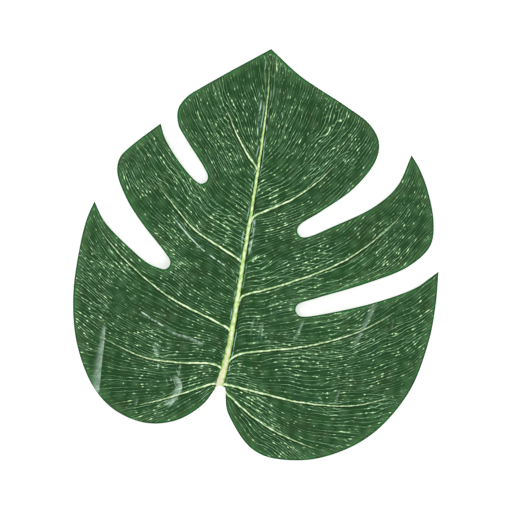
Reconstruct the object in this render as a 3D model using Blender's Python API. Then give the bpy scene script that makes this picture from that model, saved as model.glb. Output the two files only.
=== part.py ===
"""Monstera leaf: one thin pressed sheet with a raised midrib and ten raised side veins.

The leaf lies face up on a table. Z is up and the table is z = 0. Y runs along the midrib
towards the leaf tip, and the origin is on the table under the middle of the leaf.
Shapes are given in millimetres and built in metres.
"""

import math

import bmesh
import bpy
import numpy as np

MM = 0.001

# Driving dimensions, in millimetres
BLADE_THICKNESS = 0.5
MIDRIB_RISE = 0.9  # over the blade, at the stalk joint
MIDRIB_HALF_WIDTH = 2.1  # at the stalk joint
MIDRIB_TIP_HALF_WIDTH = 0.5
VEIN_RISE = 0.45  # over the blade, where a side vein leaves the midrib
VEIN_HALF_WIDTH = 0.9  # there too
VEIN_END_HALF_WIDTH = 0.4
TIP_RISE_SHARE = 0.2  # of the midrib's rise, at the leaf tip
VEIN_SINKING = (0.5, 0.9)  # where, along a side vein, it sinks into the blade
SEAT_HALF_WIDTH = 9.0  # the flat strip under the midrib that lies on the table
SEAT_BLEND = 14.0  # from the strip's edge to where the blade has its full height
CREST_SHARE = 0.068  # height of each half's arch, as a share of its span
WIDE_SPAN = 88.0  # from the midrib to where the arch comes down again, across the lobes
TIP_SPAN = 26.0  # the same, beside the leaf tip
NARROWING = (5.0, 100.0)  # where, up the leaf, the arch goes from its wide to its tip span
RISING = (-105.0, -45.0)  # where, up the leaf, the arch gains its full height
BASE_SHARE = 0.15  # of the arch's height, at the lobes' lower ends
PUFF = 0.9  # how far the blade swells up between two side veins
PUFF_REACH = 9.0
MARGIN_WAVE = 1.3
WAVES_ROUND_LEAF = 7
WAVE_START = 1.0  # the first wave's angle, in radians
WAVING = (45.0, 85.0)  # how far out from the leaf's middle the waves come in
SETTLE = 0.5  # how far the blade's lowest places are pressed flat on the table

# How finely the sheet is divided
STEPS_PER_STRETCH = 4  # of the margin, between two of its points
STEPS_PER_BEND = 8  # of a vein, between two of its points
GUIDE_POINTS = 60  # along each line that the net follows
ROW_SPACING = 16.0  # along the midrib, between rows that follow no vein
LEAST_ROWS = 3  # between two veins, however near they are
NEAREST_SHARE = 0.3  # of the gap between two veins, taken up by the row beside each
STEPS_ALONG_VEIN = 13
JOIN = 0.001  # the two sides' nets share their corners on the midrib
WELD = 0.12  # corners nearer than this become one along the cut margin
CUTTER_REACH = 5.0  # above and below the flat sheet


def arc(x, y, radius, start, end, count=4):
    """Points on a circle, from one angle to another in degrees."""
    angles = np.radians(np.linspace(start, end, count))
    return [(x + radius * math.cos(a), y + radius * math.sin(a)) for a in angles]


# The margin, anticlockwise seen from above, from the leaf tip down the left side. Each
# stretch is smooth and runs from one sharp corner to the next.
TIP = (-9, 100)
UPPER_LEFT_POINT = (-57.8, 56)
LOWER_LEFT_POINT = (-84.6, 13.4)
JOINT_LEFT = (-12.3, -69)
JOINT_RIGHT = (-7.9, -68.7)
LOWER_RIGHT_POINT = (88.1, 3)
UPPER_RIGHT_POINT = (66.8, 57.9)

MARGIN = [
    [TIP, (-31.5, 83.3), (-40, 76.8), (-47, 70.7), (-50.3, 64), (-49, 56.5), (-44.4, 50.3)]
    + [(-33.6, 37.5), *arc(-34.2, 32.6, 3.2, 15, -130)]
    + [(-44.5, 37), (-54.3, 48.6), UPPER_LEFT_POINT],
    [UPPER_LEFT_POINT, (-71, 42.6), (-75.3, 36.5), (-75.5, 29), (-68.8, 16.5), (-59.8, 5.9)]
    + [(-46.5, -6.9), *arc(-46.8, -11.7, 3.4, 20, -115)]
    + [(-54.5, -13), (-62.3, -8.2), (-78.1, 4), LOWER_LEFT_POINT],
    [LOWER_LEFT_POINT, (-87.1, 4.8), (-88.8, -10), (-88.8, -33), (-84, -56), (-73, -76.5)]
    + [(-60.6, -87.1), (-44, -91.4), (-29.5, -88), (-17.8, -78.6), JOINT_LEFT],
    [JOINT_LEFT, (-10, -68.1), JOINT_RIGHT],
    [JOINT_RIGHT, (-5.6, -79.3), (-1.2, -86.2), (4.7, -93.1), (11, -97.6), (20.1, -99.9)]
    + [(41.7, -96.9), (65.2, -82.8), (81.8, -59.2), (88.3, -33), (89.1, -14)]
    + [LOWER_RIGHT_POINT],
    [LOWER_RIGHT_POINT, (84, -1.1), (78.4, -6.4), (60.2, -16.2), (35.5, -25.6)]
    + [*arc(24.5, -25.1, 3.5, -70, -215), (30.5, -18.5), (53.9, -7.8), (73, 3.3)]
    + [(82.3, 15), (82.2, 27.5), (76.5, 43.5), (71.3, 52.4), UPPER_RIGHT_POINT],
    [UPPER_RIGHT_POINT, (62, 41.6), (52.1, 30), (33.5, 17.6), *arc(19.8, 13.7, 3.5, -60, -215)]
    + [(26.5, 24), (41.1, 37.8), (49.8, 52.8), (50, 62), (44.4, 70), (31, 77.7), (7.2, 88.9)]
    + [TIP],
]

# The midrib, from just below the stalk joint to just past the tip
MIDRIB = [(-10, -69.5), (-9.8, -65), (-8.6, -50), (-7.8, -30), (-7.5, 0), (-6.9, 25)]
MIDRIB += [(-6.7, 55), (-7.2, 80), (-9, 101.5)]

# The lines that the sheet's net follows on each side, from base to tip: one that clears the
# notch, the five side veins, and one past the tip. Each starts on the midrib, at a distance
# along it from its lower end, and ends outside the margin.
RIGHT_LINES = [
    (0, [(-8.6, -73.5), (-7, -80), (-2.8, -87.2), (3.2, -94.8), (10, -100), (20, -104)]),
    (0.9, [(-7.7, -70.6), (-1.4, -75.2), (5.8, -80), (15, -84.7), (25, -88.5), (40, -92)]
        + [(60, -97)]),
    (2.2, [(-6, -67.2), (11.2, -69), (30, -70.6), (50.2, -69.4), (59, -67.6), (70.8, -63)]
        + [(80, -57.5), (91, -50)]),
    (11.5, [(-7.6, -54.8), (-3.8, -51.5), (4.9, -48.9), (25.9, -43.6), (46.9, -35.4)]
        + [(62, -26.4), (80, -10), (94, 5)]),
    (43, [(-6.4, -23.4), (-3.1, -21.1), (5.5, -17.8), (25.1, -8.3), (41.6, 1.8)]
        + [(56.2, 15.4), (66, 28), (77, 58)]),
    (84, [(-6, 17), (0, 20.8), (7.8, 25.5), (15.2, 31), (25.5, 41.5), (36, 57), (45, 82)]),
    (171, [(-9, 104), (-9, 107)]),
]
LEFT_LINES = [
    (0, [(-12.4, -73), (-16.8, -80), (-22.4, -86), (-29, -91), (-38, -97)]),
    (0.9, [(-13.5, -67.6), (-23.3, -71.9), (-39.2, -79.4), (-55, -85), (-72, -93)]),
    (7.5, [(-11.5, -59.3), (-17.3, -58), (-32, -59.6), (-48.5, -59.5), (-63.1, -55.6)]
        + [(-78, -50), (-95, -42)]),
    (28, [(-10.4, -39.8), (-22, -35.2), (-34.1, -31.2), (-46.9, -25.3), (-66.8, -12.1)]
        + [(-78.2, -1.8), (-92, 18)]),
    (62.5, [(-9.4, -5.5), (-18.9, -0.8), (-34, 6.6), (-46, 17.3), (-58, 29), (-78, 52)]),
    (109, [(-8.8, 42.2), (-13.2, 46.9), (-18.2, 53.7), (-26.3, 67), (-32, 80), (-38, 96)]),
    (171, [(-9, 104), (-9, 107)]),
]

# Where a lobe's point curls up off the table: x, y, how high, and how far in it starts
CURLS = [
    (*TIP, 5.0, 46),
    (*UPPER_LEFT_POINT, 5.5, 40),
    (*LOWER_LEFT_POINT, 7.0, 42),
    (*LOWER_RIGHT_POINT, 6.0, 44),
    (*UPPER_RIGHT_POINT, 7.5, 42),
    (-66, -84, 3.2, 34),
    (52, -92, 3.8, 40),
]


def curve_point(before, start, end, after, share):
    """The point a share of the way from start to end on a smooth curve through all four.

    The curve is a centripetal Catmull-Rom one. Each argument may hold many rows of points.
    """
    knots = [0]
    for a, b in ((before, start), (start, end), (end, after)):
        length = np.linalg.norm(b - a, axis=-1, keepdims=True)
        knots.append(knots[-1] + np.sqrt(np.maximum(length, 1e-9)))
    k0, k1, k2, k3 = knots
    t = k1 + (k2 - k1) * share

    def mix(a, b, ka, kb):
        return a * (kb - t) / (kb - ka) + b * (t - ka) / (kb - ka)

    a1, a2, a3 = mix(before, start, k0, k1), mix(start, end, k1, k2), mix(end, after, k2, k3)
    return mix(mix(a1, a2, k0, k2), mix(a2, a3, k1, k3), k1, k2)


def smooth_line(points, steps):
    """A smooth line through the points, with this many steps between each two."""
    p = np.array(points, float)
    p = np.vstack([2 * p[0] - p[1], p, 2 * p[-1] - p[-2]])
    line = [
        curve_point(*p[i : i + 4], step / steps)
        for i in range(len(p) - 3)
        for step in range(steps)
    ]
    return np.array([*line, p[-2]])


def lengths_along(line):
    """How far each point of a line is from its start, measured along it."""
    return np.concatenate([[0], np.cumsum(np.linalg.norm(np.diff(line, axis=0), axis=1))])


def at_lengths(line, lengths):
    """The points of a line at these distances along it."""
    along = lengths_along(line)
    return np.stack([np.interp(lengths, along, line[:, k]) for k in (0, 1)], axis=-1)


def distance_to(line, points):
    """How far each point is from a line, and how far along the line its nearest place is."""
    starts, spans = line[:-1], np.diff(line, axis=0)
    along = lengths_along(line)
    nearest = np.full(len(points), np.inf)
    place = np.zeros(len(points))
    for start, span, begin in zip(starts, spans, along[:-1], strict=True):
        size = np.linalg.norm(span)
        share = np.clip((points - start) @ span / size**2, 0, 1)
        gap = np.linalg.norm(points - start - share[:, None] * span, axis=1)
        closer = gap < nearest
        nearest[closer] = gap[closer]
        place[closer] = (begin + share * size)[closer]
    return nearest, place


def ease(x, start=0, end=1):
    """0 up to the start, 1 from the end on, and a smooth rise between."""
    x = np.clip((x - start) / (end - start), 0, 1)
    return x * x * (3 - 2 * x)


MIDRIB_LINE = smooth_line(MIDRIB, STEPS_PER_BEND)
MIDRIB_LENGTH = lengths_along(MIDRIB_LINE)[-1]


def vein_line(start, points):
    """A side line of the net as a smooth line, from its place on the midrib."""
    return smooth_line([at_lengths(MIDRIB_LINE, start), *points], STEPS_PER_BEND)


SIDE_VEINS = [vein_line(*line) for lines in (LEFT_LINES, RIGHT_LINES) for line in lines[1:-1]]


def lift(points):
    """How high the underside is over the table at each point."""
    x, y = points.T
    side = x - np.interp(y, MIDRIB_LINE[:, 1], MIDRIB_LINE[:, 0])
    out = np.abs(side) - SEAT_HALF_WIDTH
    off_seat = ease(out / SEAT_BLEND)
    span = WIDE_SPAN - (WIDE_SPAN - TIP_SPAN) * ease(y, *NARROWING) - SEAT_HALF_WIDTH
    arch = CREST_SHARE * span * (1 - np.cos(2 * math.pi * np.clip(out / span, 0, 1))) / 2
    arch *= BASE_SHARE + (1 - BASE_SHARE) * ease(y, *RISING)
    nearest = np.min([distance_to(vein, points)[0] for vein in SIDE_VEINS], axis=0)
    puff = PUFF * (1 - np.exp(-((nearest / PUFF_REACH) ** 2)))
    wave = MARGIN_WAVE * np.sin(WAVES_ROUND_LEAF * np.arctan2(y, x) + WAVE_START)
    wave *= ease(np.hypot(x, y), *WAVING)
    curl = np.zeros(len(points))
    for tip_x, tip_y, rise, reach in CURLS:
        near = np.clip(1 - np.hypot(x - tip_x, y - tip_y) ** 2 / reach**2, 0, 1)
        curl += rise * near**2
    return np.maximum(0, (arch + puff + wave) * off_seat + curl - SETTLE * off_seat)


def rib_height(points):
    """How far the midrib and the side veins stand over the blade at each point."""
    gap, place = distance_to(MIDRIB_LINE, points)
    fade = place / MIDRIB_LENGTH
    half = MIDRIB_HALF_WIDTH + (MIDRIB_TIP_HALF_WIDTH - MIDRIB_HALF_WIDTH) * fade
    height = MIDRIB_RISE * (1 - (1 - TIP_RISE_SHARE) * fade) * np.clip(1 - gap / half, 0, 1)
    for vein in SIDE_VEINS:
        gap, place = distance_to(vein, points)
        fade = place / lengths_along(vein)[-1]
        half = VEIN_HALF_WIDTH + (VEIN_END_HALF_WIDTH - VEIN_HALF_WIDTH) * fade
        rise = VEIN_RISE * (1 - ease(fade, *VEIN_SINKING))
        height = np.maximum(height, rise * np.clip(1 - gap / half, 0, 1))
    return height


def stations():
    """Places along the midrib, from its base, where a row of the net starts on both sides."""
    veins = sorted({line[0] for line in LEFT_LINES + RIGHT_LINES})
    places = []
    for low, high in zip(veins[:-1], veins[1:], strict=True):
        near = min(VEIN_HALF_WIDTH, (high - low) / 4)
        count = LEAST_ROWS + round((high - low) / ROW_SPACING)
        places += [low, *np.linspace(low + near, high - near, count)]
    return [*places, veins[-1]]


def net_rows(lines, places):
    """The rows of one side's net, one for each place, each from the midrib outwards."""
    starts = [line[0] for line in lines]
    guides = [vein_line(*line) for line in lines]
    fine = np.linspace(0, 1, GUIDE_POINTS)
    even = [at_lengths(g, fine * lengths_along(g)[-1]) for g in guides]
    even = [2 * even[0] - even[1], *even, 2 * even[-1] - even[-2]]
    rows = []
    for place in places:
        i = min(np.searchsorted(starts, place, side="right") - 1, len(starts) - 2)
        share = (place - starts[i]) / (starts[i + 1] - starts[i])
        gap = np.linalg.norm(even[i + 2] - even[i + 1], axis=1)
        near = np.minimum(VEIN_HALF_WIDTH / np.maximum(gap, 1e-6), NEAREST_SHARE)
        shares = [
            np.interp(share, [0, near[0], 1 - near[0], 1], [0, n, 1 - n, 1]) for n in near
        ]
        line = curve_point(*even[i : i + 4], np.array(shares)[:, None])
        shift = at_lengths(MIDRIB_LINE, place) - line[0]
        rows.append(line + shift * (1 - fine)[:, None])
    return rows


def row_points(line):
    """A row's corners: on the midrib, at its edge, then evenly out to the row's end."""
    along = lengths_along(line)
    gap, place = distance_to(MIDRIB_LINE, line)
    edge = MIDRIB_HALF_WIDTH + (MIDRIB_TIP_HALF_WIDTH - MIDRIB_HALF_WIDTH) * (
        place / MIDRIB_LENGTH
    )
    first = np.interp(1, np.maximum.accumulate(gap / edge), along)
    first = min(first, along[-1] / STEPS_ALONG_VEIN)
    return at_lengths(line, [0, *np.linspace(first, along[-1], STEPS_ALONG_VEIN)])


def add_net(sheet, lines, places):
    """Adds one side's net to the sheet, as a grid whose rows follow the side veins."""
    corners = np.array([row_points(line) for line in net_rows(lines, places)])
    rows, columns = corners.shape[:2]
    made = bmesh.ops.create_grid(sheet, x_segments=columns - 1, y_segments=rows - 1, size=1)
    for vert, (x, y) in zip(made["verts"], corners.reshape(-1, 2), strict=True):
        vert.co = (x * MM, y * MM, 0)


def flat_sheet():
    """The whole net as one flat sheet, a little larger than the leaf."""
    places = stations()
    sheet = bmesh.new()
    add_net(sheet, LEFT_LINES, places)
    add_net(sheet, RIGHT_LINES, places)
    bmesh.ops.remove_doubles(sheet, verts=sheet.verts, dist=JOIN * MM)
    bmesh.ops.recalc_face_normals(sheet, faces=sheet.faces)
    return sheet


def margin_line():
    """The leaf's outline as one closed line."""
    return np.vstack([smooth_line(stretch, STEPS_PER_STRETCH)[:-1] for stretch in MARGIN])


def new_object(name, shape):
    """Puts a bmesh in the scene as an object."""
    mesh = bpy.data.meshes.new(name)
    shape.to_mesh(mesh)
    shape.free()
    made = bpy.data.objects.new(name, mesh)
    bpy.context.scene.collection.objects.link(made)
    return made


def margin_cutter():
    """A tall block with the leaf's outline, which trims the sheet."""
    block = bmesh.new()
    foot = -CUTTER_REACH * MM
    corners = [block.verts.new((x * MM, y * MM, foot)) for x, y in margin_line()]
    face = block.faces.new(corners)
    walls = bmesh.ops.extrude_face_region(block, geom=[face])
    raised = [v for v in walls["geom"] if isinstance(v, bmesh.types.BMVert)]
    bmesh.ops.translate(block, verts=raised, vec=(0, 0, 2 * CUTTER_REACH * MM))
    bmesh.ops.recalc_face_normals(block, faces=block.faces)
    cutter = new_object("margin_cutter", block)
    cutter.hide_render = True
    cutter.display_type = "WIRE"
    return cutter


def trimmed_sheet():
    """The flat sheet, cut to the leaf's outline."""
    flat = new_object("flat_sheet", flat_sheet())
    cutter = margin_cutter()
    trim = flat.modifiers.new("trim_to_margin", "BOOLEAN")
    trim.operation = "INTERSECT"
    trim.object = cutter
    evaluated = flat.evaluated_get(bpy.context.evaluated_depsgraph_get())
    sheet = bmesh.new()
    sheet.from_mesh(evaluated.to_mesh())
    bpy.data.objects.remove(flat)
    bpy.data.objects.remove(cutter)
    return sheet


def leaf_material():
    """Printed leaf green with a satin coat."""
    green = bpy.data.materials.new("printed_leaf_green")
    green.use_nodes = True
    shader = green.node_tree.nodes["Principled BSDF"]
    shader.inputs["Base Color"].default_value = (0.05, 0.12, 0.05, 1)
    shader.inputs["Roughness"].default_value = 0.5
    shader.inputs["Metallic"].default_value = 0.0
    return green


def monstera_leaf():
    """The leaf: the trimmed sheet, given its thickness, its ribs and its lie on the table."""
    sheet = trimmed_sheet()
    bmesh.ops.remove_doubles(sheet, verts=sheet.verts, dist=WELD * MM)
    bmesh.ops.triangulate(sheet, faces=sheet.faces)
    bmesh.ops.recalc_face_normals(sheet, faces=sheet.faces)
    under = list(sheet.verts)
    raised = bmesh.ops.extrude_face_region(sheet, geom=list(sheet.faces))["geom"]
    upper = [v for v in raised if isinstance(v, bmesh.types.BMVert)]
    for verts, is_top in ((under, False), (upper, True)):
        flat = np.array([v.co[:2] for v in verts]) / MM
        heights = lift(flat)
        if is_top:
            heights = heights + BLADE_THICKNESS + rib_height(flat)
        for vert, height in zip(verts, heights, strict=True):
            vert.co.z = height * MM
    bmesh.ops.recalc_face_normals(sheet, faces=sheet.faces)
    leaf = new_object("monstera_leaf", sheet)
    leaf.data.materials.append(leaf_material())
    leaf.data.shade_smooth()
    leaf.data.set_sharp_from_angle(angle=math.radians(40))
    return leaf


for thing in list(bpy.data.objects):
    bpy.data.objects.remove(thing)
monstera_leaf()
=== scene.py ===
"""Looks of the monstera leaf: one printed, heat-pressed sheet of woven polyester.

The frame's own shape is repeated here much finer, then the print, the pressed veins, the
creases and the cut edge are put on it. Z is up and the leaf lies on z = 0 with its midrib
along Y. Shapes are given in millimetres and built in metres.
"""

import math

import bmesh
import bpy
import numpy as np
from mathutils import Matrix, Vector, noise


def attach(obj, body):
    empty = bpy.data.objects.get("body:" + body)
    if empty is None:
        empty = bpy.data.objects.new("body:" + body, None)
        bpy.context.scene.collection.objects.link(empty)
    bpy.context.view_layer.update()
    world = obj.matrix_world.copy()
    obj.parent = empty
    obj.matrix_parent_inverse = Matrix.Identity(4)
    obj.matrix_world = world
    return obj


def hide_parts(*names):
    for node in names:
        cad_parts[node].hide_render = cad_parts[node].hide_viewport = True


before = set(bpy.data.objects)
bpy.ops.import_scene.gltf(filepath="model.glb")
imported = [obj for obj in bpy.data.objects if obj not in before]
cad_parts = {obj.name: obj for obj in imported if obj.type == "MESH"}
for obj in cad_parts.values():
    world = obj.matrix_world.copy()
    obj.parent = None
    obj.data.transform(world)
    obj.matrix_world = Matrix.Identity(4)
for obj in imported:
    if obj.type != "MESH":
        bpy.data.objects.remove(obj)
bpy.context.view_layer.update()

MM = 0.001

# The sheet, in millimetres, as the frame has it
BLADE_THICKNESS = 0.5
MIDRIB_RISE = 0.9  # over the blade, at the stalk joint
MIDRIB_HALF_WIDTH = 2.1  # at the stalk joint
MIDRIB_TIP_HALF_WIDTH = 0.5
VEIN_RISE = 0.45  # over the blade, where a side vein leaves the midrib
VEIN_HALF_WIDTH = 0.9  # there too
VEIN_END_HALF_WIDTH = 0.4
TIP_RISE_SHARE = 0.2  # of the midrib's rise, at the leaf tip
VEIN_SINKING = (0.5, 0.9)  # where, along a side vein, it sinks into the blade
SEAT_HALF_WIDTH = 9.0  # the strip under the midrib that lies on the table
SEAT_BLEND = 14.0  # from the strip's edge to where the blade has its full height
CREST_SHARE = 0.068  # height of each half's arch, as a share of its span
WIDE_SPAN = 88.0  # from the midrib to where the arch comes down again, across the lobes
TIP_SPAN = 26.0  # the same, beside the leaf tip
NARROWING = (5.0, 100.0)  # where, up the leaf, the arch goes from its wide to its tip span
RISING = (-105.0, -45.0)  # where, up the leaf, the arch gains its full height
BASE_SHARE = 0.15  # of the arch's height, at the lobes' lower ends
PUFF = 0.9  # how far the blade swells up between two side veins
PUFF_REACH = 9.0
MARGIN_WAVE = 1.3
WAVES_ROUND_LEAF = 7
WAVE_START = 1.0  # the first wave's angle, in radians
WAVING = (45.0, 85.0)  # how far out from the leaf's middle the waves come in
SETTLE = 0.5  # how far the blade's lowest places are pressed flat on the table

# Fine relief, in millimetres
PRESSED_THROUGH = 0.5  # share of a vein's rise that shows as a groove underneath
CRINKLE = 0.22  # height of the small uneven waves that run along the fine veins
LONG_WAVES = (26, 3.5, 0)  # how long, how many fine veins wide, and their place in the noise
SHORT_WAVES = (9, 2, 5)
SHORT_WAVE_SHARE = 1 / 3  # of the long waves' height
COMING_IN = (2.0, 7.0)  # gaps to the midrib over which crinkles and creases come in
CREASE_ROUNDING = 0.5  # how much wider than the soft side of its painted sheen a crease is folded
SHARP_EDGE = 50  # degrees between two faces, over which the edge looks sharp

# How finely the sheet is divided, in millimetres
STEPS_PER_STRETCH = 10  # of the margin, between two of its points
ROW_SPACING = 1.45  # between rows, where they are furthest apart
ROWS_UP_A_VEIN = 3  # from a side vein's crest to its foot
NEAREST_SHARE = 0.3  # of the gap between two guides, taken up by the rows beside each
COLUMNS = 82  # from the midrib to where a row ends
STEPS_PER_BEND = 8  # of a vein, between two of its points
STEPS_PER_FOLD = 3  # of a crease, between two of its points
GUIDE_POINTS = 60  # along each guide of the net
EVENED_OVER = 13  # of those, for the spread of the fine veins
OVER_MIDRIB = (0, 0.25, 0.5, 0.75, 1)  # a row's first corners, from crest to foot
JOIN = 0.001  # corners closer together than this become one
CUTTER_HEIGHT = 10.0  # of the block that trims the sheet to its outline

# The print, in millimetres
FAR = 9.0  # gaps to the veins and the margin aren't told apart beyond this
FINE_SPACING = 1.35  # between fine veins, where they are furthest apart
WEAVE_PITCH = 6.9115  # as drawn; the real threads are 0.4 apart
WAVE_RADIANS = 20  # of a Wave Texture's stripes, to a unit of its scale
SHOWN_THROUGH = 0.45  # how much paler the print is on the back, where the dye shows through
CREASE_END = 3.0  # how far a crease takes to fade out at its ends
MIDRIB_PRINT_TIP = 0.2  # half width at the leaf tip
MIDRIB_PRINT_TAPER = 1.25  # more than that at the stalk joint
MIDRIB_PRINT_FLARE = 0.5  # and more again there
MIDRIB_FLARE_REACH = 0.1  # share of the midrib over which that dies away
MIDRIB_PRINT_SHIFT = 0.35  # how far left of the pressed rib its print lies
MIDRIB_PRINT_HOOK = 0.8  # and how much further at the stalk joint
MIDRIB_HOOK_REACH = 0.03  # share of the midrib over which that dies away
VEIN_PRINT = 0.62  # half width where a side vein leaves the midrib
VEIN_PRINT_TAPER = 0.55  # share of it lost by where the print has faded out
VEIN_PRINT_FLARE = 0.45  # and how much wider it is right at the midrib
VEIN_FLARE_REACH = 2.0
VEIN_PRINT_FADING = (0.75, 1.1)  # shares of its printed length over which a vein fades out
VEIN_PRINT_START = 0.3  # from the midrib's middle, over which a vein comes in
VEIN_PRINT_SIDES = (2.0, 4.0)  # gaps over which it gives way to the blade

# The map for baking: shares of its height, and millimetres
TOP_SHARE = 0.9
BAKE_GAP = 0.005
WALL_FLANGE = 0.3

# What the sheet's points hold for its print and its painted shadow, highlight and sheen: half
# widths of the printed veins, places along them, gaps to them and to the creases with their
# sides, and how strongly each shows
PRINT_AND_PAINTED_LIGHT_VALUES = ["midrib_half", "midrib_place", "beside_midrib", "vein_half", "beside_vein"]
PRINT_AND_PAINTED_LIGHT_VALUES += ["vein_strength", "crease_gap", "crease_soft", "crease_sheen", "in_from_margin"]

# The sheet's material slots
UPPER, UNDER, EDGE = range(3)

# The camera, in millimetres and degrees
LENS = 300
SENSOR = 36
VIEW_WIDTH = 252.1  # across the picture, at the table
VIEW_CENTRE = (-2.6, -1.7)
LEAN = 8.1
SIGHT = 100000  # how far the camera sees

# The studio, in metres and watts
FLOOR_RADIUS = 6.0
SURROUNDINGS = 0.5
BACKLIGHT = 0.36
SOFTBOX_WIDTH = 1.1
SOFTBOXES = [
    ("upper_left_softbox", (-0.8, 0.9, 1.2), 9.5),
    ("upper_right_softbox", (0.9, 0.8, 1.2), 6),
    ("lower_left_softbox", (-0.9, -0.8, 1.2), 6.5),
    ("lower_right_softbox", (0.8, -0.9, 1.2), 8.5),
]


def arc(x, y, radius, start, end, count=4):
    """Points on a circle, from one angle to another in degrees."""
    angles = np.radians(np.linspace(start, end, count))
    return [(x + radius * math.cos(a), y + radius * math.sin(a)) for a in angles]


# The margin, from the leaf tip down the left side and round. Each stretch is smooth and runs
# from one sharp corner to the next.
TIP = (-9, 100)
UPPER_LEFT_POINT = (-57.8, 56)
LOWER_LEFT_POINT = (-84.6, 13.4)
JOINT_LEFT = (-12.3, -69)
JOINT_RIGHT = (-7.9, -68.7)
LOWER_RIGHT_POINT = (88.1, 3)
UPPER_RIGHT_POINT = (66.8, 57.9)

MARGIN = [
    [TIP, (-31.5, 83.3), (-40, 76.8), (-47, 70.7), (-50.3, 64), (-49, 56.5), (-44.4, 50.3)]
    + [(-33.6, 37.5), *arc(-34.2, 32.6, 3.2, 15, -130)]
    + [(-44.5, 37), (-54.3, 48.6), UPPER_LEFT_POINT],
    [UPPER_LEFT_POINT, (-71, 42.6), (-75.3, 36.5), (-75.5, 29), (-68.8, 16.5), (-59.8, 5.9)]
    + [(-46.5, -6.9), *arc(-46.8, -11.7, 3.4, 20, -115)]
    + [(-54.5, -13), (-62.3, -8.2), (-78.1, 4), LOWER_LEFT_POINT],
    [LOWER_LEFT_POINT, (-87.1, 4.8), (-88.8, -10), (-88.8, -33), (-84, -56), (-73, -76.5)]
    + [(-60.6, -87.1), (-44, -91.4), (-29.5, -88), (-17.8, -78.6), JOINT_LEFT],
    [JOINT_LEFT, (-10, -68.1), JOINT_RIGHT],
    [JOINT_RIGHT, (-5.6, -79.3), (-1.2, -86.2), (4.7, -93.1), (11, -97.6), (20.1, -99.9)]
    + [(41.7, -96.9), (65.2, -82.8), (81.8, -59.2), (88.3, -33), (89.1, -14)]
    + [LOWER_RIGHT_POINT],
    [LOWER_RIGHT_POINT, (84, -1.1), (78.4, -6.4), (60.2, -16.2), (35.5, -25.6)]
    + [*arc(24.5, -25.1, 3.5, -70, -215), (30.5, -18.5), (53.9, -7.8), (73, 3.3)]
    + [(82.3, 15), (82.2, 27.5), (76.5, 43.5), (71.3, 52.4), UPPER_RIGHT_POINT],
    [UPPER_RIGHT_POINT, (62, 41.6), (52.1, 30), (33.5, 17.6), *arc(19.8, 13.7, 3.5, -60, -215)]
    + [(26.5, 24), (41.1, 37.8), (49.8, 52.8), (50, 62), (44.4, 70), (31, 77.7), (7.2, 88.9)]
    + [TIP],
]

# The midrib, from just below the stalk joint to just past the tip
MIDRIB = [(-10, -69.5), (-9.8, -65), (-8.6, -50), (-7.8, -30), (-7.5, 0), (-6.9, 25)]
MIDRIB += [(-6.7, 55), (-7.2, 80), (-9, 101.5)]

# The lines that the sheet's net follows on each side, from base to tip: one that clears the
# notch, the five side veins, one for the fine veins near the tip, and one past it. Each starts
# on the midrib, at a distance along it from its lower end, and ends outside the margin. A side
# vein also has the place where its print has faded out.
RIGHT_LINES = [
    (0, [(-8.6, -73.5), (-7, -80), (-2.8, -87.2), (3.2, -94.8), (10, -100), (20, -104)], None),
    (0.9, [(-7.7, -70.6), (-1.4, -75.2), (5.8, -80), (15, -84.7), (25, -88.5), (40, -92)]
        + [(60, -97)], (40, -91)),
    (2.2, [(-6, -67.2), (11.2, -69), (30, -70.6), (50.2, -69.4), (59, -67.6), (70.8, -63)]
        + [(80, -57.5), (91, -50)], (71, -63)),
    (11.5, [(-7.6, -54.8), (-3.8, -51.5), (4.9, -48.9), (25.9, -43.6), (46.9, -35.4)]
        + [(62, -26.4), (80, -10), (94, 5)], (68, -22)),
    (43, [(-6.4, -23.4), (-3.1, -21.1), (5.5, -17.8), (25.1, -8.3), (41.6, 1.8)]
        + [(56.2, 15.4), (66, 28), (77, 58)], (65, 25)),
    (84, [(-6, 17), (0, 20.8), (7.8, 25.5), (15.2, 31), (25.5, 41.5), (36, 57)]
        + [(45, 82)], (30, 47)),
    (124, [(-5.3, 61), (-4.2, 69), (-3.9, 78), (-4.3, 88), (-5.6, 100)], None),
    (171, [(-8.6, 103), (-8, 106)], None),
]
LEFT_LINES = [
    (0, [(-12.4, -73), (-16.8, -80), (-22.4, -86), (-29, -91), (-38, -97)], None),
    (0.9, [(-13.5, -67.6), (-23.3, -71.9), (-39.2, -79.4), (-55, -85), (-72, -93)], (-48, -82)),
    (7.5, [(-11.5, -59.3), (-17.3, -58), (-32, -59.6), (-48.5, -59.5), (-63.1, -55.6)]
        + [(-78, -50), (-95, -42)], (-69, -54)),
    (28, [(-10.4, -39.8), (-22, -35.2), (-34.1, -31.2), (-46.9, -25.3), (-66.8, -12.1)]
        + [(-78.2, -1.8), (-92, 18)], (-78, -2)),
    (62.5, [(-9.4, -5.5), (-18.9, -0.8), (-34, 6.6), (-46, 17.3), (-58, 29)]
        + [(-78, 52)], (-53, 24)),
    (109, [(-8.8, 42.2), (-13.2, 46.9), (-18.2, 53.7), (-26.3, 67), (-32, 80)]
        + [(-38, 96)], (-26, 67)),
    (134, [(-8.3, 69), (-10.5, 77), (-13.5, 87), (-17, 99)], None),
    (171, [(-11, 103), (-15, 105)], None),
]

# Where a lobe's point curls up off the table: x, y, how high, and how far in it starts
CURLS = [
    (*TIP, 5.0, 46),
    (*UPPER_LEFT_POINT, 5.5, 40),
    (*LOWER_LEFT_POINT, 7.0, 42),
    (*LOWER_RIGHT_POINT, 6.0, 44),
    (*UPPER_RIGHT_POINT, 7.5, 42),
    (-66, -84, 3.2, 34),
    (52, -92, 3.8, 40),
]
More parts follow.
